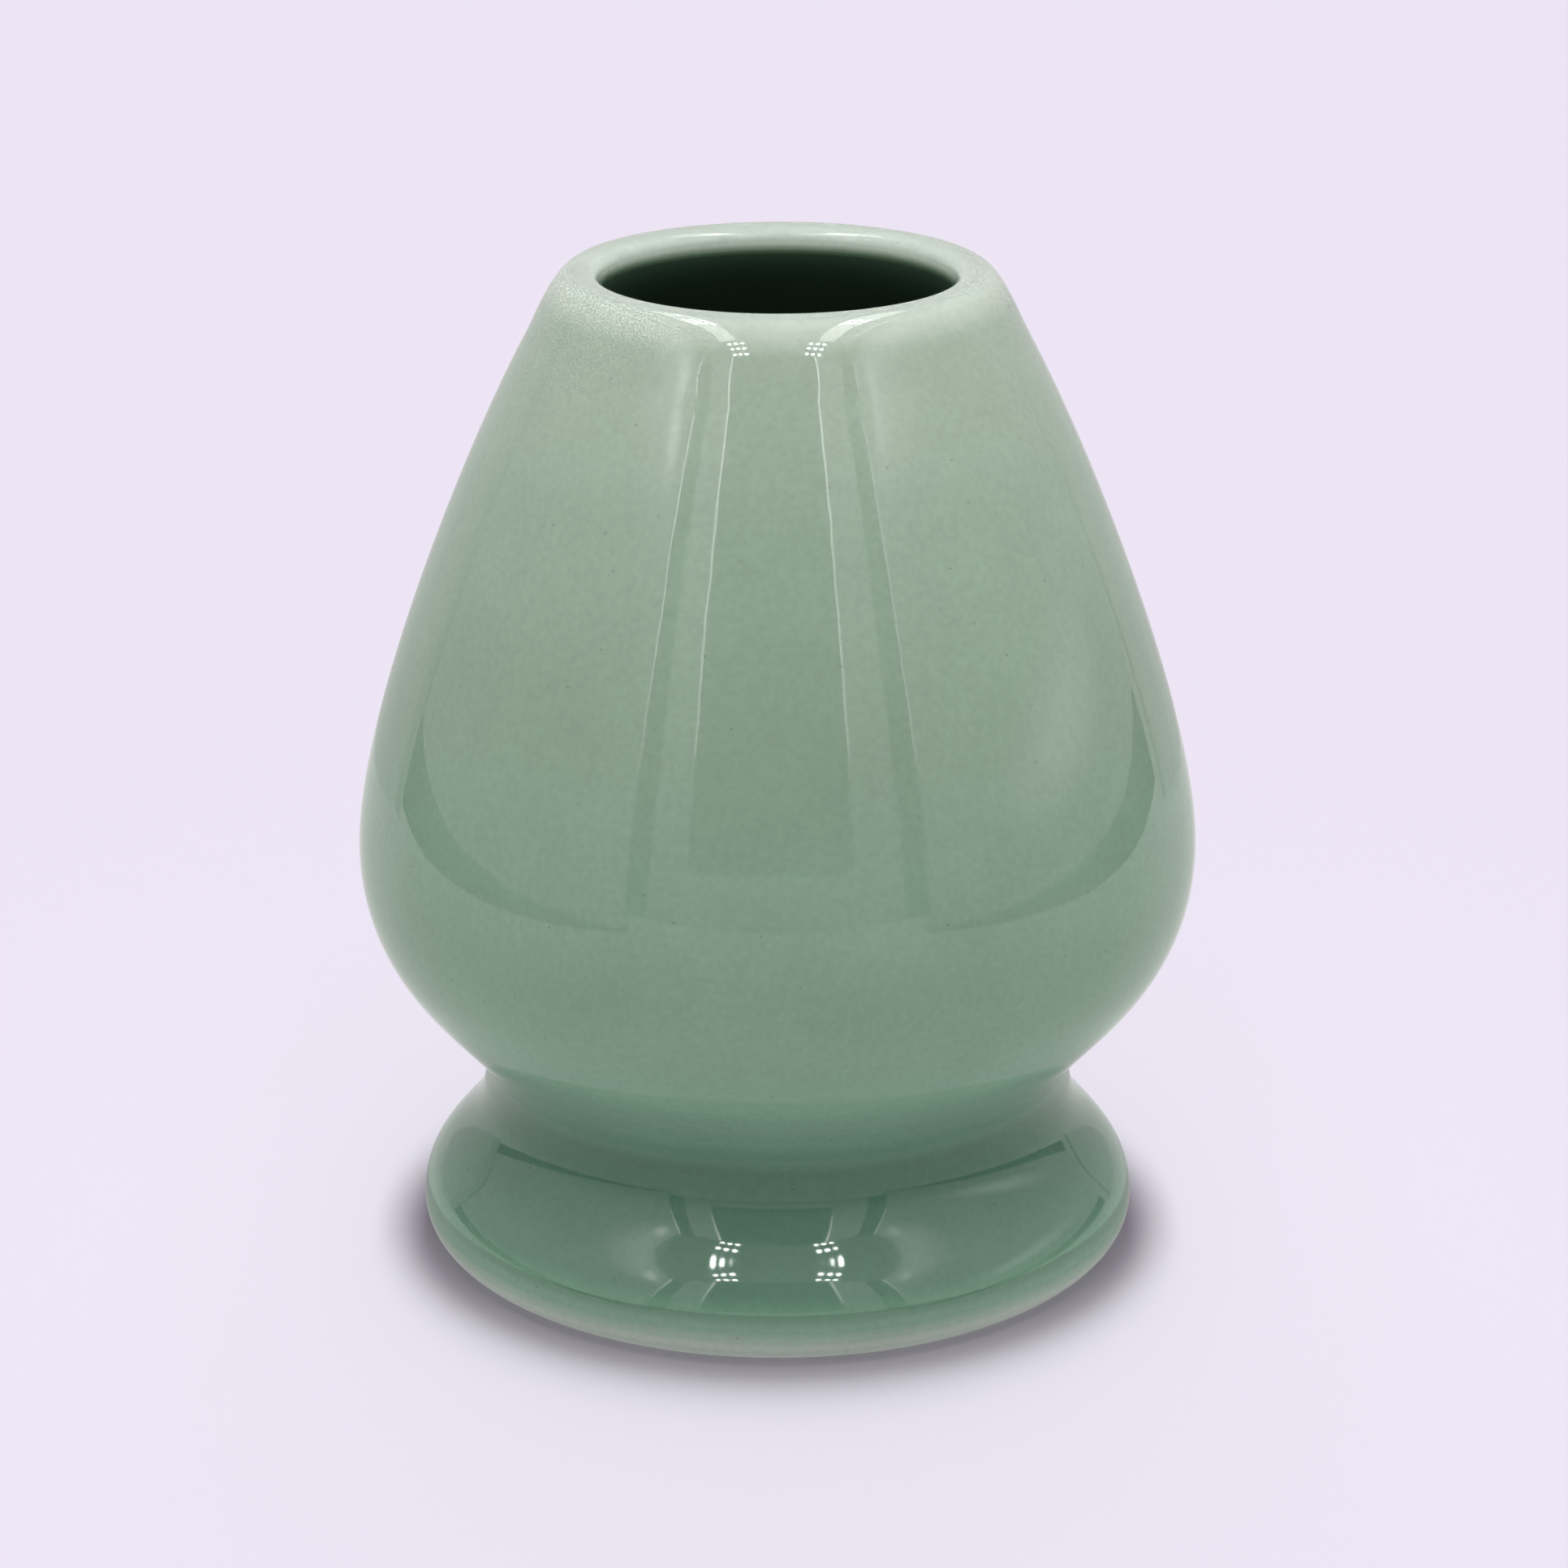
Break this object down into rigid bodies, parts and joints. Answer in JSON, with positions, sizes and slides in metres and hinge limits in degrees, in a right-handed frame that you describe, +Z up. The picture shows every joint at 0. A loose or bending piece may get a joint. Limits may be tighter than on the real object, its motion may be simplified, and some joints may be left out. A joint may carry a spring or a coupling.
{
  "type": "whisk stand",
  "caption": "Pear-shaped glazed ceramic stand with a round mouth and a flared foot, open right through, that holds a bamboo tea whisk tines down to dry.",
  "frame": {"origin": "centre of the standing ring, on the table", "axes": "+Z up through the middle of the mouth; +X to the right and +Y away from the viewer, though the shape is the same all round"},
  "size_m": [0.063, 0.063, 0.075],
  "materials": {
    "celadon_glaze": "glossy pale grey-green celadon glaze, darker where it pools",
    "liner_glaze": "the same glaze inside, in shade",
    "bare_clay": "matt fired clay, off-white",
    "fired_slip": "matt fired slip inside the wall, not visible"
  },
  "bodies": {
    "root": {"bulb_wall": "bare_clay", "foot_wall": "bare_clay", "luting_slip": "fired_slip", "outer_glaze": "celadon_glaze", "liner_glaze": "liner_glaze"}
  },
  "joints": []
}
